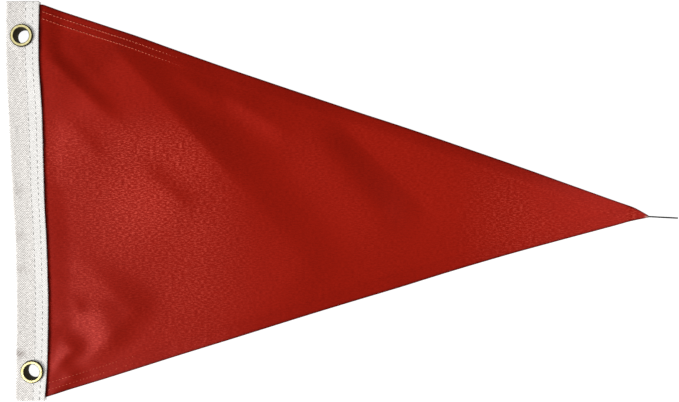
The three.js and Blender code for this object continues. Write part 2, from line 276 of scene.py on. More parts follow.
# %% [markdown]
# ## Materials as node trees
#
# Each material is a Principled shader with a few texture nodes before it. One small function adds a
# node, sets its values and links it, so that a tree reads from top to bottom. The others are the
# steps that the materials share, and each gives back the output to go on with.


# %% Node helpers
def add_node(tree, kind, values=None, links=None, **settings):
    """Adds a node, sets its properties and input values, and links its inputs to earlier outputs."""
    node = tree.nodes.new(kind)
    for name, value in settings.items():
        setattr(node, name, value)
    for socket, value in (values or {}).items():
        node.inputs[socket].default_value = value
    for socket, source in (links or {}).items():
        tree.links.new(source, node.inputs[socket])
    return node


def new_material(name):
    """A material with an empty tree but for its output and Principled shader."""
    made = bpy.data.materials.new(name)
    made.use_nodes = True
    tree = made.node_tree
    return made, tree, tree.nodes["Principled BSDF"]


def add_noise(tree, vector, scale=1.0, detail=2.0, roughness=0.5, output="Fac"):
    """Something uneven over a place."""
    values = {"Scale": scale, "Detail": detail, "Roughness": roughness}
    return add_node(tree, "ShaderNodeTexNoise", values, {"Vector": vector}).outputs[output]


def add_scaled(tree, vector, scale):
    """A place, with each of its directions multiplied by its own number."""
    return add_node(tree, "ShaderNodeMapping", {"Scale": scale}, {"Vector": vector}).outputs["Vector"]


def add_share(tree, value, share, other):
    """A share of one value, added to another value."""
    links = {0: value, 2: other}
    return add_node(tree, "ShaderNodeMath", {1: share}, links, operation="MULTIPLY_ADD").outputs["Value"]


def add_ramp(tree, factor, low, high):
    """A colour between two, each given as its place on the scale and its code."""
    ramp = add_node(tree, "ShaderNodeValToRGB", None, {"Fac": factor})
    for element, (position, code) in zip(ramp.color_ramp.elements, (low, high)):
        element.position = position
        element.color = hex_colour(code)
    return ramp.outputs["Color"]


def add_tint(tree, base, code, factor):
    """A colour from an earlier node, mixed towards a fixed one."""
    values = {"B": hex_colour(code)}
    links = {"Factor": factor, "A": base}
    return add_node(tree, "ShaderNodeMix", values, links, data_type="RGBA").outputs["Result"]


def read_marks(tree, name):
    """The numbers that add_marks stored on the piece."""
    return add_node(tree, "ShaderNodeAttribute", attribute_name=name).outputs["Fac"]


def add_relief(tree, shader, height, strength, depth):
    """Small bumps, from a value."""
    values = {"Strength": strength, "Distance": depth}
    relief = add_node(tree, "ShaderNodeBump", values, {"Height": height})
    tree.links.new(relief.outputs["Normal"], shader.inputs["Normal"])


# %% [markdown]
# ## Red nylon
#
# Flag nylon is a plain weave of bright continuous yarn, 200 denier, about 0.35 mm apart. Up close
# it shows fine level streaks, because no two yarns take the dye or lie quite alike. Where a fold
# faces the light, single floats of the yarn flash and the cloth looks flecked. These flecks are a
# painted glint: a lighter red mixed into the colour on slopes that face the raking light. Streaks
# and flecks are finer than a pixel of the picture, so they are drawn coarser than they are: the
# streaks 0.8 mm apart and the flecks 2.5 mm long. Modelled yarns would be far too many, and a tiled
# picture would repeat, so two noises stretched along the yarn stand for them.

# %% Nylon material
YARN = 0.8 * MM
STREAK = 9 * MM
FLECK = 2.5 * MM
FLECK_TALL = 0.7 * MM
PAINTED_GLINT_RANGE = {"From Min": 0.49, "From Max": 0.63}  # of the noise, from no fleck to a full one
HEM_SHADE = 0.13  # how much darker each extra layer of a hem looks

nylon, tree, shader = new_material("Woven nylon, dyed red")
flat = add_node(tree, "ShaderNodeUVMap", uv_map="flat").outputs["UV"]
streaks = add_noise(tree, add_scaled(tree, flat, (1 / STREAK, 1 / YARN, 1)), detail=3.0, roughness=0.7)
speckle = add_noise(tree, add_scaled(tree, flat, (1 / FLECK, 1 / FLECK_TALL, 1)), roughness=0.6)
patches = add_noise(tree, flat, scale=18.0)
yarns = add_share(tree, streaks, 0.5, speckle)
cloudy = add_share(tree, patches, 0.25, yarns)
dye = add_ramp(tree, cloudy, (0.55, "#6c0e06"), (1.0, "#861509"))
layers = read_marks(tree, "layers")
doubled = add_node(tree, "ShaderNodeMath", {1: HEM_SHADE}, {0: layers}, operation="MULTIPLY")
deeper = add_tint(tree, dye, "#630b06", doubled.outputs["Value"])
# Painted glints: flecks of lighter red on the slopes that face the raking light, read from a mark on the
# cloth.
painted_glints = read_marks(tree, "painted_glints")
painted_glint_mask = add_node(tree, "ShaderNodeMapRange", PAINTED_GLINT_RANGE, {"Value": speckle, "To Max": painted_glints})
bright = add_tint(tree, deeper, "#c24c3e", painted_glint_mask.outputs["Result"])
pale = add_tint(tree, bright, "#8f7d74", read_marks(tree, "frayed"))
# Painted shade: a dark line along each turned edge and along the seam at the heading.
turned = add_tint(tree, pale, "#2a0302", read_marks(tree, "rim"))
tree.links.new(turned, shader.inputs["Base Color"])
add_relief(tree, shader, yarns, 0.12, 0.6 * MM)
shader.inputs["Roughness"].default_value = 0.45
shader.inputs["Specular IOR Level"].default_value = 0.6
shader.inputs["Specular Tint"].default_value = hex_colour("#ff3b2d")
print("made", nylon.name)

# %% [markdown]
# ## The cloth
#
# The real cloth is one piece whose edge is turned twice to make a hem. Here it is one closed shell.
# The hem is three layers thick, with a rounded outer edge and a low step at its inner one. A regular
# grid has many short lines near the hem, where the shape changes fast, and fewer between.

# %% Cloth surface
PLY = 0.3  # one layer
SLOT_RISE = 0.5  # the tab lies against the upper layer of the heading
HEM_WIDTH = 12
HEM_STEP = (HEM_WIDTH - 4, HEM_WIDTH + 1)  # the turned layers end between these
HEM_PLIES = 0.2  # the two turned layers, pressed flat
EDGE_COSINE = math.cos(math.radians(18))  # of each long edge's slope
TAB = 4.4  # the cloth that is inside the heading
TAB_END = 150.2
HOIST_X = -216
BOW_FADE = (20, 140)  # the grid follows the heading's bow and straightens between these
HEM_LINES = [0, 0.1, 0.3, 0.6, 1.2, 2.2, 3.6, 5.0, 6.4, 7.8, 9.2, 10.2, 11.0, 11.8, 12.6, 13.4]
HEM_BAND = HEM_LINES[-1]
LINES_BETWEEN = 116
COLUMNS = 236


def hem_share(x, y):
    """How much of the hem's rise a point has, counting both hems where they meet at the tip."""
    rises = []
    for inside in (upper_edge(x) - y, y - lower_edge(x)):
        rises.append(1 - smoothstep(inside * EDGE_COSINE, *HEM_STEP))
    return rises[0] + rises[1]


def pucker(x, y):
    """The small ripples that sewing leaves along the hems, and the short ones at the heading.

    No two of the waves are a whole number of times as long, so they never repeat.
    """
    wave = np.sin(x / 1.9) + np.sin(x / 1.23 + 1.3) + np.sin(x / 3.1 + 0.4)
    hems = 0.02 * wave * np.minimum(hem_share(x, y), 1)
    out = x - cloth_edge(y)
    gathers = np.sin(y / 2.6 + 0.5 * np.sin(y / 9)) * (1 + np.sin(y / 13.0)) + 0.6 * np.sin(y / 5.3 + 2)
    gathers = 0.2 * gathers * smoothstep(out, 0, 4) * np.exp(-np.maximum(out, 0) / 9)
    drift = np.sin(x / 17 + y / 23) * np.sin(y / 14 - x / 31)
    return hems + gathers + 0.12 * drift


def cloth_under(x, y):
    """The height of the cloth's lower face."""
    out = x - cloth_edge(y)
    settled = smoothstep(out, GAP, SETTLE)
    folds = sum(fold_height(fold, x, y) for fold in FOLDS + CREASES)
    lying = np.maximum(0, folds - LIES_FLAT + pucker(x, y))
    lying = lying + TIP_RISE * smoothstep(x, TIP_RISE_FROM, TIP_RISE_TO)
    return lerp(heading_lift(y) + CANVAS + GAP + SLOT_RISE, lying, settled)


def cloth_over(x, y):
    """The height of the cloth's upper face."""
    out = x - cloth_edge(y)
    return cloth_under(x, y) + PLY + HEM_PLIES * hem_share(x, y) * smoothstep(out, GAP, SETTLE)


# %% Cloth grid
def cloth_grid():
    """Places of the cloth's grid in plan, and how far each is inside the nearer long edge."""
    tip = EDGES["x"][-1] - HOIST_X
    outs = np.concatenate([[-TAB, -TAB / 2], np.linspace(0, 6, 7)[:-1], np.linspace(6, tip, COLUMNS)])
    xs = []
    ys = []
    insides = []
    for out in outs:
        bow = 1 - smoothstep(out, *BOW_FADE)

        def x_at(y, out=out, bow=bow):
            return HOIST_X + out + bow * (cloth_edge(y) - HOIST_X)

        low = -TAB_END
        high = TAB_END
        for _ in range(3):
            low = float(max(lower_edge(x_at(low)), -TAB_END))
            high = float(min(upper_edge(x_at(high)), TAB_END))
        height = high - low
        band = min(1.0, height / 2 / (HEM_BAND + 0.4)) * np.array(HEM_LINES)
        between = np.linspace(band[-1], height - band[-1], LINES_BETWEEN)[1:-1]
        ups = np.concatenate([band, between, (height - band)[::-1]])
        y = low + ups
        xs.append(x_at(y))
        ys.append(y)
        insides.append(np.minimum(ups, height - ups))
    return np.array(xs), np.array(ys), np.array(insides)


grid_x, grid_y, inside = cloth_grid()
lines, across = grid_x.shape
under = cloth_under(grid_x, grid_y)
over = cloth_over(grid_x, grid_y)

# The outer edge of the hem is a fold, so its two faces meet in a half round.
half = (over - under) / 2
ends = np.minimum(inside, (EDGES["x"][-1] - grid_x) * 2)
roundness = np.clip(ends / np.maximum(half, 1e-6), 0, 1)
pinch = half * (1 - np.sqrt(1 - (1 - roundness) ** 2))
over = over - pinch
under = under + pinch

top = np.stack([grid_x, grid_y, over], axis=-1).reshape(-1, 3)
bottom = np.stack([grid_x, grid_y, under], axis=-1).reshape(-1, 3)
count = len(top)
index = np.arange(count).reshape(lines, across)
rim_line = np.concatenate([index[:-1, 0], index[-1, :-1], index[:0:-1, -1], index[0, :0:-1]])
next_on_rim = np.roll(rim_line, -1)
walls = np.stack([rim_line, rim_line + count, next_on_rim + count, next_on_rim], axis=-1)
faces = grid_faces(lines, across, flip=True) + grid_faces(lines, across, count) + walls.tolist()
plan = np.stack([grid_x, grid_y], axis=-1).reshape(-1, 2)
cloth = mesh_piece("nylon_cloth", np.concatenate([top, bottom]), faces, np.concatenate([plan, plan]))
cloth.data.materials.append(nylon)

# %% Marks on the cloth
EDGE_SHADE_WIDTH = 1.2
TIP_SCRAP = (241, 11)  # the frayed scrap is this far to the right and below the middle
LIGHT_ACROSS = (0.88, 0.47)  # in plan, the way that the raking light goes
FACING = (-0.06, 0.1)  # slopes, from no flecks to all of them


def mark_cloth(name, values):
    """Stores the same number on the cloth's upper and its lower face."""
    add_marks(cloth, name, np.concatenate([values.ravel(), values.ravel()]))


scrap_x, scrap_y = TIP_SCRAP
frayed = smoothstep(grid_x, scrap_x, scrap_x + 2) * smoothstep(-grid_y, scrap_y, scrap_y + 1)
mark_cloth("frayed", frayed)

# Painted shade: a dark line along each turned edge, and along the seam where the heading's edge
# shades the cloth. The one at the heading is uneven, because the cloth gathers.
hoist = np.maximum(grid_x - cloth_edge(grid_y), 0)
seam_shade_width = 1.0 + 0.45 * np.sin(grid_y / 6.1) + 0.35 * np.sin(grid_y / 2.3 + 1)
painted_edge_shade = np.exp(-((inside / EDGE_SHADE_WIDTH) ** 2)) * (1 - frayed)
mark_cloth("rim", np.maximum(painted_edge_shade, np.exp(-((hoist / seam_shade_width) ** 2))))

# Painted glints: flecks on slopes that face the light, in a wide patch by the heading and one near the
# tip.
slope_x = (cloth_over(grid_x + 1, grid_y) - cloth_over(grid_x - 1, grid_y)) / 2
slope_y = (cloth_over(grid_x, grid_y + 1) - cloth_over(grid_x, grid_y - 1)) / 2
facing = smoothstep(LIGHT_ACROSS[0] * slope_x + LIGHT_ACROSS[1] * slope_y, *FACING)
by_heading = smoothstep(-grid_x, 45, 120) * smoothstep(-grid_y, -75, -35) * smoothstep(grid_y, -160, -70)
by_heading = 0.5 * by_heading * (1 - 0.3 * smoothstep(-grid_x, 170, 215))
by_tip = 0.45 * smoothstep(grid_x, 90, 170)
mark_cloth("painted_glints", np.minimum((by_heading + by_tip + 0.04) * (0.15 + facing), 1))
mark_cloth("layers", hem_share(grid_x, grid_y))

# %% Close the cloth
merged = bmesh.new()
merged.from_mesh(cloth.data)
bmesh.ops.remove_doubles(merged, verts=merged.verts, dist=0.001 * MM)
bmesh.ops.recalc_face_normals(merged, faces=merged.faces)
merged.to_mesh(cloth.data)
merged.free()
print("cloth:", len(cloth.data.polygons), "faces, highest", round(float(over.max()), 2), "mm")

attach(cloth, BODY)
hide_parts("pennant_cloth")

# %% [markdown]
# ## Canvas
#
# The heading is cotton duck tape, a plain weave of thick unbleached yarn about 0.9 mm apart. Over
# and under repeat every second yarn, which gives small pits 1.8 mm apart. Their colour is painted
# darker, as shade, so they show as grey dots. The stretch over the cloth is paler, and a few faint
# grey patches lie near the fold. Duck has no gloss. Two crossed waves make the pits, because
# nothing about the yarns shows from the side.

# %% Canvas material
DUCK_REPEAT = 1.8 * MM
YARN_DRIFT = 1.2 * MM
SLUBS = (400, 1200, 1)  # in a metre, across and along the tape

canvas, tree, shader = new_material("Cotton duck, plain woven")
flat = add_node(tree, "ShaderNodeUVMap", uv_map="flat").outputs["UV"]
drift = add_noise(tree, flat, scale=120.0, output="Color")
shifted = add_node(
    tree,
    "ShaderNodeVectorMath",
    {1: (YARN_DRIFT, YARN_DRIFT, 0)},
    {0: drift, 2: flat},
    operation="MULTIPLY_ADD",
)
turns = add_node(
    tree,
    "ShaderNodeVectorMath",
    {"Scale": 2 * math.pi / DUCK_REPEAT},
    {0: shifted.outputs["Vector"]},
    operation="SCALE",
)
waves = add_node(tree, "ShaderNodeVectorMath", None, {0: turns.outputs["Vector"]}, operation="SINE")
wave = add_node(tree, "ShaderNodeSeparateXYZ", None, {"Vector": waves.outputs["Vector"]}).outputs
over_under = add_node(tree, "ShaderNodeMath", None, {0: wave["X"], 1: wave["Y"]}, operation="MULTIPLY")
depth = add_node(
    tree,
    "ShaderNodeMapRange",
    {"From Min": -1.0, "From Max": 1.0, "To Max": 0.55},
    {"Value": over_under.outputs["Value"]},
)
slubs = add_noise(tree, add_scaled(tree, flat, SLUBS))
uneven = add_share(tree, slubs, 0.7, depth.outputs["Result"])
# Painted shade: the colour runs dark where the waves make pits, and the slubs vary the tone at random.
duck = add_ramp(tree, uneven, (0.1, "#3d3631"), (0.93, "#faf6f1"))
# Paler over the cloth, and faint grey patches near the fold.
plain = add_tint(tree, duck, "#eeeeec", read_marks(tree, "paler_over_cloth"))
patchy = add_tint(tree, plain, "#7f726c", read_marks(tree, "grey_patch"))
tree.links.new(patchy, shader.inputs["Base Color"])
add_relief(tree, shader, uneven, 0.5, 0.3 * MM)
shader.inputs["Roughness"].default_value = 0.9
shader.inputs["Specular IOR Level"].default_value = 0.15
print("made", canvas.name)

# %% [markdown]
# ## The heading
#
# The tape is folded lengthwise over the cloth's edge. Two rows of stitches press it down, and the
# stretch over the cloth is a little thicker than the stretch beside the fold. Its section is a
# closed line of points, and the piece is that line moved from one end of the tape to the other.

# %% Heading sizes
HEADING_HEIGHT = 3.6  # under the flanges
OVER_CLOTH = 3.55
FOLD_ROUND = 1.55
UPPER_END = 151.7
LOWER_END_AT_FOLD = -150.2
LOWER_END_AT_CLOTH = -151.7
HEADING_ROWS = (0.60, 0.82)  # shares of the width
HEADING_PITCH = 4.1
FLANGE_RADIUS = 8.7
STATIONS = 460


def tape_top(share, x, y):
    """The thickness of the heading at a share of its width."""
    thick = lerp(2 * FOLD_ROUND, OVER_CLOTH, smoothstep(share, 0.3, 0.62))
    for row in HEADING_ROWS:
        pinch = 0.55 + 0.45 * np.cos(2 * np.pi * y / HEADING_PITCH)
        thick = thick - 0.07 * pinch * np.exp(-(((share - row) / 0.035) ** 2))
    thick = thick + 0.05 * np.sin(y / 7.3 + 9 * share) + 0.04 * np.sin(y / 3.7 - 7 * share)
    for place in GROMMETS.values():
        away = np.hypot(x - place[0], y - place[1])
        thick = lerp(HEADING_HEIGHT, thick, smoothstep(away, FLANGE_RADIUS, FLANGE_RADIUS + 4.5))
    return thick


def half_round(radius, turns):
    """Offsets from the fold round a half circle, from its lower end to its upper one."""
    angles = [math.pi * t for t in turns]
    return [(FOLD_ROUND - radius * math.sin(a), FOLD_ROUND - radius * math.cos(a)) for a in angles]


def tape_section():
    """The section's points as (part, place across, height), once round both faces of the strip."""
    points = [("fold", x, z) for x, z in half_round(FOLD_ROUND, np.linspace(0, 1, 9))]
    points += [("front", share, 0) for share in (*np.linspace(0.09, 0.98, 44), 0.992)]
    points += [("front edge", 0.0, -0.12), ("front edge", 0.0, -0.75)]
    points += [("front", share, -CANVAS) for share in np.linspace(0.985, 0.09, 18)]
    points += [("fold", x, z) for x, z in half_round(FOLD_ROUND - CANVAS, np.linspace(1, 0, 5))]
    points += [("back", share, CANVAS) for share in np.linspace(0.09, 0.985, 12)]
    points += [("back edge", 0.0, 0.75), ("back edge", 0.0, 0.25)]
    points += [("back", share, 0) for share in np.linspace(0.985, 0.12, 12)]
    return points


# %% Heading mesh
def tape_points():
    """The section's points at every station, and their places on the flat tape."""
    columns = []
    flats = []
    up = np.linspace(0, 1, STATIONS)
    for part, place, height in tape_section():
        lower = LOWER_END_AT_FOLD if part == "fold" else LOWER_END_AT_CLOTH
        y = lerp(lower, UPPER_END, up)
        left = fold_edge(y)
        right = cloth_edge(y)
        if part == "fold":
            x = left + place
            z = np.full_like(y, height)
        elif part.endswith("edge"):
            x = right - place
            z = height + (tape_top(1.0, x, y) if part.startswith("front") else 0)
        else:
            x = lerp(left, right, place)
            z = height + (tape_top(place, x, y) if part == "front" else 0)
        columns.append(np.stack([x, y, heading_lift(y) + z], axis=-1))
        side = -1 if part.startswith("back") or (part == "fold" and height < FOLD_ROUND) else 1
        flats.append(np.stack([side * (x - left), y], axis=-1))
    return np.stack(columns, axis=1), np.stack(flats, axis=1)


stations, flats = tape_points()
rings, sides, _ = stations.shape
index = np.arange(rings * sides).reshape(rings, sides)
beside = np.roll(index, -1, axis=1)
faces = np.stack([index[:-1], beside[:-1], beside[1:], index[1:]], axis=-1).reshape(-1, 4).tolist()
faces += [index[0, ::-1].tolist(), index[-1].tolist()]
tape = mesh_piece("canvas_heading", stations.reshape(-1, 3), faces, flats.reshape(-1, 2))
rough = bmesh.new()
rough.from_mesh(tape.data)
bmesh.ops.triangulate(rough, faces=[face for face in rough.faces if len(face.verts) > 4])
bmesh.ops.recalc_face_normals(rough, faces=rough.faces)
rough.to_mesh(tape.data)
rough.free()
print("heading:", len(tape.data.polygons), "faces")

# %% Punch the holes
PUNCHED_RADIUS = 6.05
PUNCH_LENGTH = 20


def punch(x, y):
    """A round cutter on the vertical through a point."""
    cutter = bmesh.new()
    radius = PUNCHED_RADIUS * MM
    length = PUNCH_LENGTH * MM
    bmesh.ops.create_cone(cutter, cap_ends=True, segments=64, radius1=radius, radius2=radius, depth=length)
    bmesh.ops.translate(cutter, verts=cutter.verts, vec=(x * MM, y * MM, 0))
    mesh = bpy.data.meshes.new("punch")
    cutter.to_mesh(mesh)
    cutter.free()
    made = bpy.data.objects.new("punch", mesh)
    bpy.context.scene.collection.objects.link(made)
    return made


def settle_modifiers(piece):
    """Turns a piece's live modifiers into its plain mesh."""
    graph = bpy.context.evaluated_depsgraph_get()
    mesh = bpy.data.meshes.new_from_object(piece.evaluated_get(graph))
    piece.modifiers.clear()
    piece.data = mesh


for place in GROMMETS.values():
    cutter = punch(place[0], place[1])
    cut = tape.modifiers.new("punch", "BOOLEAN")
    cut.operation = "DIFFERENCE"
    cut.object = cutter
    cut.solver = "EXACT"
    settle_modifiers(tape)
    bpy.data.objects.remove(cutter)

# %% Marks on the heading
GREY_PATCHES = [  # the place, half height and strength of each
    (-234.0, -116.0, 2.8, 1.0),
    (-233.5, -52.0, 3.0, 0.45),
    (-235.0, -26.5, 3.5, 0.4),
    (-236.0, 8.0, 4.0, 0.35),
]
GREY_PATCH_WIDTH = 4.5
GREY_PATCH_STROKES = 1.9  # from one stroke of a smudge to the next

tape_x, tape_y = np.array([(v.co.x / MM, v.co.y / MM) for v in tape.data.vertices]).T
share = (tape_x - fold_edge(tape_y)) / (cloth_edge(tape_y) - fold_edge(tape_y))
add_marks(tape, "paler_over_cloth", 0.42 * smoothstep(share, 0.55, 0.68))
grey_patch = np.zeros(len(share))
for x, y, reach, strength in GREY_PATCHES:
    right = tape_x - x
    up = tape_y - y
    strokes = 0.6 + 0.4 * np.sin(2 * np.pi * (right - up) / math.sqrt(2) / GREY_PATCH_STROKES)
    grey_patch += strength * strokes * np.exp(-((right / GREY_PATCH_WIDTH) ** 2) - (up / reach) ** 2)
add_marks(tape, "grey_patch", grey_patch)
tape.data.materials.clear()
tape.data.materials.append(canvas)
tape.data.shade_smooth()
print("heading, punched:", len(tape.data.polygons), "faces")

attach(tape, BODY)
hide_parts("heading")

# %% [markdown]
# ## Brass
#
# The grommets are stamped from brass sheet and tumbled bright. Brass is a metal, so its colour is in
# its reflection. Handling leaves it faintly dull in patches, which shows as uneven roughness. Painted
# shade darkens the barrel, the mouth and the foot of the flange where it meets the canvas, and makes
# them rougher and not metallic. Noise would put it anywhere, so each point of the section says how
# much painted shade it has.

# %% Brass material
brass, tree, shader = new_material("Stamped brass, tumbled bright")
spot = add_node(tree, "ShaderNodeTexCoord").outputs["Object"]
dull = add_noise(tree, spot, scale=420.0, detail=3.0)
tarnish = add_ramp(tree, dull, (0.35, "#c6bb80"), (0.7, "#e4dba8"))
# Painted shade: darker, rougher and not metallic where the section asks for it.
painted_shade = read_marks(tree, "painted_shade")
darkened = add_tint(tree, tarnish, "#2b2410", painted_shade)
patchy = add_node(tree, "ShaderNodeMapRange", {"To Min": 0.3, "To Max": 0.45}, {"Value": dull})
rough = add_share(tree, painted_shade, 0.4, patchy.outputs["Result"])
bare = add_node(tree, "ShaderNodeMath", {0: 1.0}, {1: painted_shade}, operation="SUBTRACT")
tree.links.new(darkened, shader.inputs["Base Color"])
tree.links.new(rough, shader.inputs["Roughness"])
tree.links.new(bare.outputs["Value"], shader.inputs["Metallic"])
shader.inputs["Specular IOR Level"].default_value = 0.2
print("made", brass.name)

# %% [markdown]
# ## Grommets and washers
#
# A grommet is pressed from one piece: a flange with a rolled rim, a barrel through the canvas, and
# the barrel's end rolled out under the washer. Each is turned from a section, as on a lathe.

# %% Rings
TURN_STEPS = 96
GROMMET_HIGH = 6.5
SEAT = LIFT + HEADING_HEIGHT + 0.05


def arc(centre, radius, start, end, steps, squash=1.0):
    """Points of a round in the section, from one angle to another in degrees."""
    angles = np.radians(np.linspace(start, end, steps))
    x, z = centre
    return [(x + radius * math.cos(a), z + squash * radius * math.sin(a)) for a in angles]


def turned_ring(name, x, y, section):
    """A ring turned about a point. Each point of its section has a radius, a height and its painted shade.
    """
    points = []
    for step in range(TURN_STEPS):
        angle = 2 * math.pi * step / TURN_STEPS
        for radius, z, _ in section:
            points.append((x + radius * math.cos(angle), y + radius * math.sin(angle), z))
    sides = len(section)
    faces = []
    for i in range(TURN_STEPS):
        for j in range(sides):
            here = i * sides
            beside = ((i + 1) % TURN_STEPS) * sides
            k = (j + 1) % sides
            faces.append((here + j, beside + j, beside + k, here + k))
    made = mesh_piece(name, points, faces)
    add_marks(made, "painted_shade", [point[2] for point in section] * TURN_STEPS)
    made.data.materials.append(brass)
    shell = bmesh.new()
    shell.from_mesh(made.data)
    bmesh.ops.recalc_face_normals(shell, faces=shell.faces)
    shell.to_mesh(made.data)
    shell.free()
    return made


def grommet_section():
    """The flange's rolled rim, the mouth, the barrel and the lip, in that order."""
    crown = GROMMET_HIGH
    rim = arc((7.75, crown - 0.75), 0.95, -60, 90, 16, 0.79)
    # The third number of each point is its painted shade: at the rim's outer foot, in the mouth and in the
    # barrel.
    points = [(radius, z, smoothstep(radius, 7.75, 8.05)) for radius, z in rim]
    mouth = arc((6.55, crown - 0.85), 0.85, 90, 180, 12)
    points += [(radius, z, 1 - smoothstep(radius, 6.2, 6.55)) for radius, z in mouth]
    points += [(5.6, 4.2, 1), (5.4, 3.2, 1), (5.3, 2.0, 1)]
    points += [(radius, z, 1) for radius, z in arc((5.75, 0.45), 0.45, 180, 270, 5)]
    points += [(radius, z, 0.3) for radius, z in arc((6.9, 0.28), 0.28, -90, 90, 5)]
    points += [(5.9, 0.56, 1), (5.8, 0.8, 1), (5.8, SEAT, 1), (6.2, SEAT + 0.02, 1)]
    return points


def washer_section():
    """A flat ring with its edges eased."""
    low = LIP + GAP
    points = arc((8.45, low + 0.25), 0.25, -90, 90, 7)
    points += arc((6.15, low + 0.25), 0.25, 90, 270, 7)
    # The whole washer gets a little painted shade.
    return [(radius, z, 0.2) for radius, z in points]


for name, place in GROMMETS.items():
    ring_piece = turned_ring(f"{name}_eyelet", place[0], place[1], grommet_section())
    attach(ring_piece, BODY)
    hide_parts(f"{name}_grommet")
    washer_piece = turned_ring(f"{name}_backing", place[0], place[1], washer_section())
    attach(washer_piece, BODY)
    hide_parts(f"{name}_washer")
print("grommets turned in", TURN_STEPS, "steps")

# %% [markdown]
# ## Sewing
#
# Lockstitch shows as a row of short raised lengths of thread that dive into the cloth at both ends.
# One stitch is made once, and Geometry Nodes sets a copy at each pitch along a row, so a row is a
# line on the cloth and a handful of sizes.

# %% One stitch
def tube_mesh(name, path, radii, sides):
    """A closed tube along a path that runs near +X, in millimetres."""
    points = []
    for (x, y, z), radius in zip(path, radii):
        for side in range(sides):
            angle = 2 * math.pi * side / sides
            points.append((x, y + radius * math.cos(angle), z + radius * math.sin(angle)))
    faces = []
    for i in range(len(path) - 1):
        for j in range(sides):
            k = (j + 1) % sides
            faces.append((i * sides + j, i * sides + k, (i + 1) * sides + k, (i + 1) * sides + j))
    faces.append(tuple(range(sides))[::-1])
    last = (len(path) - 1) * sides
    faces.append(tuple(last + j for j in range(sides)))
    return mesh_piece(name, points, faces)


def stitch_shape(length, thickness):
    """A raised length of thread with its ends turned down."""
    steps = np.linspace(-1, 1, 7)
    path = [(length / 2 * s, 0, thickness * (0.55 - 0.95 * abs(s) ** 3)) for s in steps]
    radii = [thickness / 2 * (1 - 0.35 * abs(s) ** 4) for s in steps]
    return tube_mesh("stitch", path, radii, 6)


# %% The tree that sews a row
def sewing_tree():
    """Geometry Nodes: sets a stitch at each pitch along a line and joins them."""
    tree = bpy.data.node_groups.new("Sew along a line", "GeometryNodeTree")
    sockets = (
        ("Line", "NodeSocketGeometry"),
        ("Stitch", "NodeSocketObject"),
        ("Pitch", "NodeSocketFloat"),
        ("Unevenness", "NodeSocketFloat"),
        ("Seed", "NodeSocketInt"),
        ("Thread", "NodeSocketMaterial"),
    )
    for name, kind in sockets:
        tree.interface.new_socket(name, in_out="INPUT", socket_type=kind)
    tree.interface.new_socket("Stitches", in_out="OUTPUT", socket_type="NodeSocketGeometry")
    given = add_node(tree, "NodeGroupInput").outputs
    line = add_node(tree, "GeometryNodeMeshToCurve", None, {"Mesh": given["Line"]})
    marks = add_node(
        tree,
        "GeometryNodeResampleCurve",
        None,
        {"Curve": line.outputs["Curve"], "Length": given["Pitch"]},
        mode="LENGTH",
    )
    tangent = add_node(tree, "GeometryNodeInputTangent")
    aim = add_node(
        tree,
        "FunctionNodeAlignRotationToVector",
        None,
        {"Vector": tangent.outputs["Tangent"]},
        axis="X",
        pivot_axis="Z",
    )
    turn = add_node(tree, "FunctionNodeRandomValue", None, {"Seed": given["Seed"]}, data_type="FLOAT")
    spread = add_node(tree, "ShaderNodeMath", {1: 0.5}, {0: turn.outputs[1]}, operation="SUBTRACT")
    swing = add_node(
        tree,
        "ShaderNodeMath",
        None,
        {0: spread.outputs["Value"], 1: given["Unevenness"]},
        operation="MULTIPLY",
    )
    twist = add_node(tree, "ShaderNodeCombineXYZ", None, {"Z": swing.outputs["Value"]})
    skew = add_node(
        tree,
        "FunctionNodeRotateRotation",
        None,
        {"Rotation": aim.outputs["Rotation"], "Rotate By": twist.outputs["Vector"]},
        rotation_space="LOCAL",
    )
    size = add_node(
        tree, "ShaderNodeMath", {1: 0.6, 2: 1.0}, {0: swing.outputs["Value"]}, operation="MULTIPLY_ADD"
    )
    shape = add_node(tree, "GeometryNodeObjectInfo", None, {"Object": given["Stitch"]})
    sewn = add_node(
        tree,
        "GeometryNodeInstanceOnPoints",
        None,
        {
            "Points": marks.outputs["Curve"],
            "Instance": shape.outputs["Geometry"],
            "Rotation": skew.outputs["Rotation"],
            "Scale": size.outputs["Value"],
        },
    )
    instances = {"Geometry": sewn.outputs["Instances"]}
    joined = add_node(tree, "GeometryNodeRealizeInstances", None, instances)
    dyed = add_node(
        tree,
        "GeometryNodeSetMaterial",
        None,
        {"Geometry": joined.outputs["Geometry"], "Material": given["Thread"]},
    )
    add_node(tree, "NodeGroupOutput", None, {"Stitches": dyed.outputs["Geometry"]})
    return tree


SEWING = sewing_tree()


def sew(name, lines, stitch, pitch, thread, seed):
    """Sews along lines of points, in millimetres, and leaves a plain mesh."""
    points = np.concatenate(lines)
    edges = []
    first = 0
    for line in lines:
        edges += [(first + i, first + i + 1) for i in range(len(line) - 1)]
        first += len(line)
    mesh = bpy.data.meshes.new(name)
    mesh.from_pydata((points * MM).tolist(), edges, [])
    made = bpy.data.objects.new(name, mesh)
    bpy.context.scene.collection.objects.link(made)
    sewer = made.modifiers.new("sewing", "NODES")
    sewer.node_group = SEWING
    values = {"Stitch": stitch, "Pitch": pitch * MM, "Unevenness": 0.22, "Seed": seed, "Thread": thread}
    for item in SEWING.interface.items_tree:
        if item.in_out == "INPUT" and item.name in values:
            sewer[item.identifier] = values[item.name]
    settle_modifiers(made)
    made.data.shade_smooth()
    return made


print("sewing tree has", len(SEWING.nodes), "nodes")

# %% [markdown]
# Polyester thread is round, hard-twisted and slightly glossy, so it glints where the dull cloth
# does not. The hems are sewn in red, drawn lighter than the cloth: partly the thread's own pinkish
# red and partly a painted highlight of its glints. The heading is sewn in white. The loose thread at
# the tip is dull and nearly black.


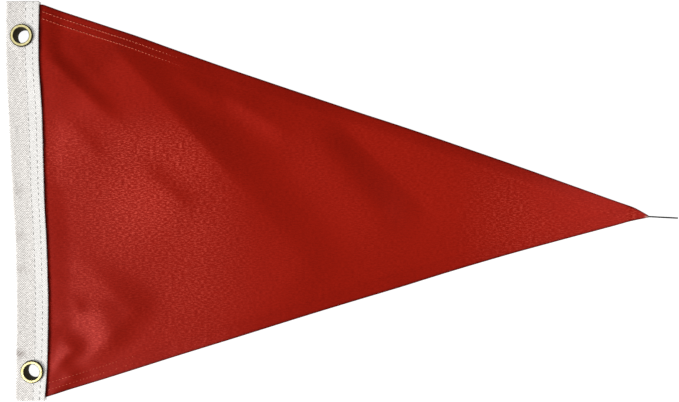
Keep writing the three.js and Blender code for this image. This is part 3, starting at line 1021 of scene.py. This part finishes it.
# %% Threads
def thread_material(name, colour, roughness, tint, specular=0.5):
    """Twisted thread of one colour, with painted shade where its bump is low."""
    made, tree, shader = new_material(name)
    spot = add_node(tree, "ShaderNodeTexCoord").outputs["Object"]
    uneven = add_noise(tree, spot, scale=700.0)
    full = hex_colour(colour)
    dark = (*(0.75 * c for c in full[:3]), 1)
    shade = add_node(tree, "ShaderNodeMix", {"A": dark, "B": full}, {"Factor": uneven}, data_type="RGBA")
    tree.links.new(shade.outputs["Result"], shader.inputs["Base Color"])
    add_relief(tree, shader, uneven, 0.3, 0.05 * MM)
    shader.inputs["Roughness"].default_value = roughness
    shader.inputs["Specular IOR Level"].default_value = specular
    shader.inputs["Specular Tint"].default_value = hex_colour(tint)
    return made


# The red is partly the thread's own pinkish red and partly a painted highlight of its glints.
red_thread = thread_material("Polyester thread, red", "#dc6a50", 0.3, "#ffb4a0")
white_thread = thread_material("Polyester thread, white", "#f2f1ee", 0.45, "#ffffff")
dark_thread = thread_material("Polyester thread, dark", "#050505", 0.8, "#ffffff", 0.1)

# %% Rows on the hems
UPPER_ROWS = (5.5, 10.6)  # in from the edge
LOWER_ROWS = (4.7, 9.8)
UPPER_PROUD = 0.22  # how far the rows stand out of the cloth near the heading
LOWER_PROUD = -0.36
SUNK = -0.5  # the crowns of the stitches are then just under the cloth's face
SINKS = (-200, -90)
HEM_PITCH = 2.6
HEM_STITCH = stitch_shape(2.1, 0.42)
HEADING_STITCH = stitch_shape(3.1, 0.5)
ROW_START = 3
ROW_END = 232
CLEAR_OF_EDGE = 1.5


def hem_row(edge, inward, distance, proud):
    """A line on the cloth, a distance in from one long edge, that sinks in away from the heading."""
    x = np.linspace(float(cloth_edge(edge(EDGES["x"][0]))) + ROW_START, ROW_END, 500)
    y = edge(x) + inward * distance / EDGE_COSINE
    keep = (y < upper_edge(x) - CLEAR_OF_EDGE) & (y > lower_edge(x) + CLEAR_OF_EDGE)
    x = x[keep]
    y = y[keep]
    height = cloth_over(x, y) + lerp(proud, SUNK, smoothstep(x, *SINKS))
    return np.stack([x, y, height], axis=-1)


hem_lines = [hem_row(upper_edge, -1, distance, UPPER_PROUD) for distance in UPPER_ROWS]
hem_lines += [hem_row(lower_edge, 1, distance, LOWER_PROUD) for distance in LOWER_ROWS]
hem_sewing = sew("hem_sewing", hem_lines, HEM_STITCH, HEM_PITCH, red_thread, 4)
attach(hem_sewing, BODY)
print("hem sewing:", len(hem_sewing.data.polygons), "faces")


# %% Rows on the heading
PRESSED_IN = 0.1


def heading_row(share):
    """Lines down the heading at a share of its width, broken at the grommets."""
    y = np.linspace(LOWER_END_AT_CLOTH + CLEAR_OF_EDGE, UPPER_END - CLEAR_OF_EDGE, 400)
    x = lerp(fold_edge(y), cloth_edge(y), share)
    z = heading_lift(y) + tape_top(share, x, y)
    clear = np.ones(len(y), bool)
    for place in GROMMETS.values():
        clear &= np.hypot(x - place[0], y - place[1]) > FLANGE_RADIUS + 0.6
    pieces = np.split(np.arange(len(y)), np.where(np.diff(clear.astype(int)) != 0)[0] + 1)
    line = np.stack([x, y, z - PRESSED_IN], axis=-1)
    return [line[part] for part in pieces if clear[part[0]]]


heading_lines = heading_row(HEADING_ROWS[0]) + heading_row(HEADING_ROWS[1])
heading_sewing = sew("heading_sewing", heading_lines, HEADING_STITCH, HEADING_PITCH, white_thread, 9)
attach(heading_sewing, BODY)
for shape in (HEM_STITCH, HEADING_STITCH):
    bpy.data.objects.remove(shape)
print("heading sewing:", len(heading_sewing.data.polygons), "faces")

# %% [markdown]
# ## The loose thread
#
# A single dark thread leaves the tip and lies on the surface. It is a free cord, and it follows the
# same route as its solid. The solid is 0.8 mm thick. Here the thread is drawn 1.1 mm thick, because a
# thread under a pixel wide would fade out of the picture.

# %% Thread at the tip
THREAD_DIAMETER = 1.1
THREAD_HEIGHT = 0.55
THREAD_ROUTE = [
    (237.6, -11.3), (239.8, -11.5), (242.0, -11.7), (244.2, -11.9), (246.4, -12.05),
    (248.6, -12.15), (250.8, -12.25), (253.0, -12.4), (255.2, -12.5), (257.4, -12.6),
    (259.6, -12.75), (261.8, -12.85), (264.0, -12.95), (266.0, -13.05), (267.8, -13.15),
]


def smooth_route(route, steps):
    """Points of a smooth curve through the route's points."""
    route = np.array(route, float)
    padded = np.concatenate([[2 * route[0] - route[1]], route, [2 * route[-1] - route[-2]]])
    points = []
    for i in range(len(route) - 1):
        a, b, c, d = padded[i : i + 4]
        for t in np.linspace(0, 1, steps, endpoint=False):
            linear = (c - a) * t
            square = (2 * a - 5 * b + 4 * c - d) * t**2
            cubic = (3 * b - a - 3 * c + d) * t**3
            points.append(0.5 * (2 * b + linear + square + cubic))
    points.append(route[-1])
    return np.array(points)


route = smooth_route([(x, y, THREAD_HEIGHT) for x, y in THREAD_ROUTE], 3)
curve = bpy.data.curves.new("loose_thread", "CURVE")
curve.dimensions = "3D"
curve.bevel_depth = THREAD_DIAMETER / 2 * MM
curve.bevel_resolution = 3
curve.use_fill_caps = True
spline = curve.splines.new("POLY")
spline.points.add(len(route) - 1)
for point, (x, y, z) in zip(spline.points, route * MM):
    point.co = (x, y, z, 1)
thread = bpy.data.objects.new("loose_thread", curve)
bpy.context.scene.collection.objects.link(thread)
thread.data.materials.append(dark_thread)
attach(thread, BODY)
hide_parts("tip_thread")

# %% [markdown]
# ## Floor and light
#
# The floor is an opal sheet lit from below, so it is plain white with no shadow at the flag's edges.
# A large softbox, low at the lower left, rakes across the folds. A small one at the right opens the
# shade, and a weak panel at the upper left lights the crown of the upper grommet. The ceiling is
# pale and the walls are dark, so that the brass has a bright crown and dark flanks.

# %% Floor
REACH = 4
corners = [(-REACH, -REACH, 0), (REACH, -REACH, 0), (REACH, REACH, 0), (-REACH, REACH, 0)]
floor_mesh = bpy.data.meshes.new("floor")
floor_mesh.from_pydata(corners, [], [(0, 1, 2, 3)])
floor = bpy.data.objects.new("floor", floor_mesh)
floor.location.z = -0.02 * MM
bpy.context.scene.collection.objects.link(floor)
opal, tree, shader = new_material("White opal sheet, lit from below")
shader.inputs["Base Color"].default_value = hex_colour("#626262")
shader.inputs["Roughness"].default_value = 0.9
shader.inputs["Specular IOR Level"].default_value = 0.0
shader.inputs["Emission Color"].default_value = hex_colour("#ffffff")
shader.inputs["Emission Strength"].default_value = 0.95
floor_mesh.materials.append(opal)


# %% Lights
def softbox(name, place, size, power):
    """A square light at a place, in metres, that faces the flag."""
    lamp = bpy.data.lights.new(name, "AREA")
    lamp.shape = "SQUARE"
    lamp.size = size
    lamp.energy = power
    made = bpy.data.objects.new(name, lamp)
    made.location = place
    made.rotation_mode = "QUATERNION"
    made.rotation_quaternion = Vector(place).to_track_quat("Z", "Y")
    bpy.context.scene.collection.objects.link(made)
    return made


softbox("Raking softbox", (-3.0, -1.6, 1.9), 1.3, 203)
softbox("Panel at the upper left", (-0.92, 0.49, 1.28), 0.6, 1.8)
softbox("Right softbox", (0.75, 0.0, 0.6), 0.4, 4.1)

# %% Ceiling
world = bpy.data.worlds.new("Pale ceiling")
world.use_nodes = True
tree = world.node_tree
way = add_node(tree, "ShaderNodeTexCoord")
up = add_node(tree, "ShaderNodeSeparateXYZ", None, {"Vector": way.outputs["Generated"]})
ceiling = add_node(
    tree,
    "ShaderNodeMapRange",
    {"From Min": 0.7, "From Max": 0.95, "To Min": 0.03, "To Max": 0.8},
    {"Value": up.outputs["Z"]},
    interpolation_type="SMOOTHSTEP",
)
tree.nodes["Background"].inputs["Color"].default_value = (1, 1, 1, 1)
tree.links.new(ceiling.outputs["Result"], tree.nodes["Background"].inputs["Strength"])
bpy.context.scene.world = world
bpy.context.scene.view_settings.view_transform = "Standard"
print("three softboxes and a pale ceiling")
